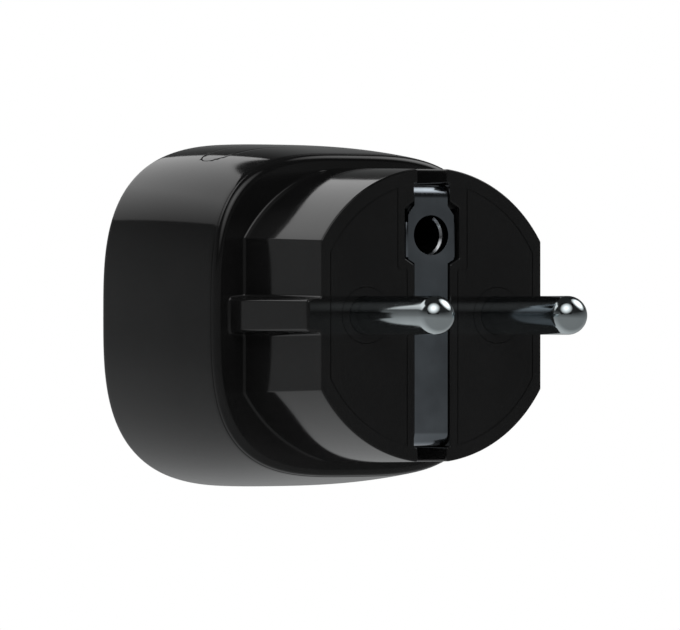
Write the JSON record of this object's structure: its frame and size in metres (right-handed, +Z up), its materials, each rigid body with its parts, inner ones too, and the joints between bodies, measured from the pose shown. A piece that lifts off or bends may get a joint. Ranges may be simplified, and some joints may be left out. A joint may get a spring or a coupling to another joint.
{
  "type": "smart plug",
  "caption": "Compact black smart plug: rounded-square housing, round plug boss with two pins and an earth strap behind, recessed socket in front, button on top.",
  "frame": {"origin": "centre of the plug's end face, midway between its two pins", "axes": "+Y along the pins into the wall outlet, +Z up, +X to the right seen from the socket side"},
  "size_m": [0.0448, 0.066, 0.0448],
  "materials": {
    "gloss_black": "polished injection-moulded black",
    "cover_black": "polished injection-moulded black, slightly softer gloss",
    "socket_black": "satin moulded black",
    "light_guide": "translucent opal polycarbonate",
    "nickel": "bright nickel plate",
    "strap_steel": "nickel-plated spring steel, satin",
    "spring_steel": "spring steel",
    "brass": "stamped brass",
    "copper": "copper",
    "iron": "soft iron, plated",
    "board_green": "solder mask over glass fibre",
    "relay_blue": "moulded relay case",
    "insulator": "natural moulded insulator",
    "shutter_grey": "satin moulded dark grey",
    "capacitor_black": "shrink sleeve",
    "ceramic_blue": "epoxy-dipped ceramic",
    "chip_black": "moulded epoxy",
    "ferrite": "sintered ferrite",
    "lamp": "light-emitting diode, phosphor face"
  },
  "bodies": {
    "root": {"front_shell": "gloss_black", "rear_cover": "cover_black", "housing_screw_1": "spring_steel", "housing_screw_2": "spring_steel", "housing_screw_3": "spring_steel", "housing_screw_4": "spring_steel", "plug_pin_line": "nickel", "plug_pin_neutral": "nickel", "pin_collar_line": "cover_black", "pin_collar_neutral": "cover_black", "power_link_line": "copper", "power_link_neutral": "copper", "pin_carrier": "insulator", "earth_strap": "strap_steel", "earth_pin_socket": "spring_steel", "earth_link": "copper", "socket_cup": "socket_black", "light_ring": "light_guide", "shutter_cover": "shutter_grey", "socket_earth_spring": "spring_steel", "contact_sleeve_line": "brass", "contact_sleeve_neutral": "brass", "main_board": "board_green", "board_screw_1": "spring_steel", "board_screw_2": "spring_steel", "capacitor_1": "capacitor_black", "capacitor_2": "capacitor_black", "power_inductor": "ferrite", "varistor": "ceramic_blue", "fuse": "insulator", "shunt_resistor": "copper", "metering_chip": "chip_black", "power_chip": "chip_black", "radio_board": "board_green", "radio_shield": "spring_steel", "antenna": "copper", "switch_body": "chip_black", "status_lamp_1": "lamp", "status_lamp_2": "lamp", "relay_base": "insulator", "relay_case": "relay_blue", "relay_coil": "copper", "relay_core": "iron", "relay_fixed_contact": "brass"},
    "button": {"function_button": "gloss_black"},
    "switch_plunger": {"switch_plunger": "insulator"},
    "shutter": {"safety_shutter": "shutter_grey", "shutter_spring": "spring_steel"},
    "armature": {"relay_armature": "iron", "relay_contact_arm": "brass"}
  },
  "joints": [
    {"name": "button_press", "type": "slide", "parent": "root", "child": "button", "axis": [0, 0, -1], "range_m": [0, 0.0003], "stiffness_N_per_m": 1300, "springref_m": -0.0003},
    {"name": "switch_press", "type": "slide", "parent": "root", "child": "switch_plunger", "axis": [0, 0, -1], "range_m": [0, 0.0003]},
    {"name": "shutter_turn", "type": "hinge", "parent": "root", "child": "shutter", "pos_m": [0, -0.02725, 0], "axis": [0, 1, 0], "range_deg": [0, 42], "stiffness_Nm_per_rad": 0.002, "springref_deg": -17.19, "deforming": ["shutter_spring"]},
    {"name": "relay_pull", "type": "hinge", "parent": "root", "child": "armature", "pos_m": [0, -0.0104, -0.0109], "axis": [1, 0, 0], "range_deg": [0, 3], "stiffness_Nm_per_rad": 0.02, "springref_deg": -2.86}
  ],
  "couplings": [
    {"joint": "switch_press", "follows": "button_press", "ratio": 1}
  ]
}
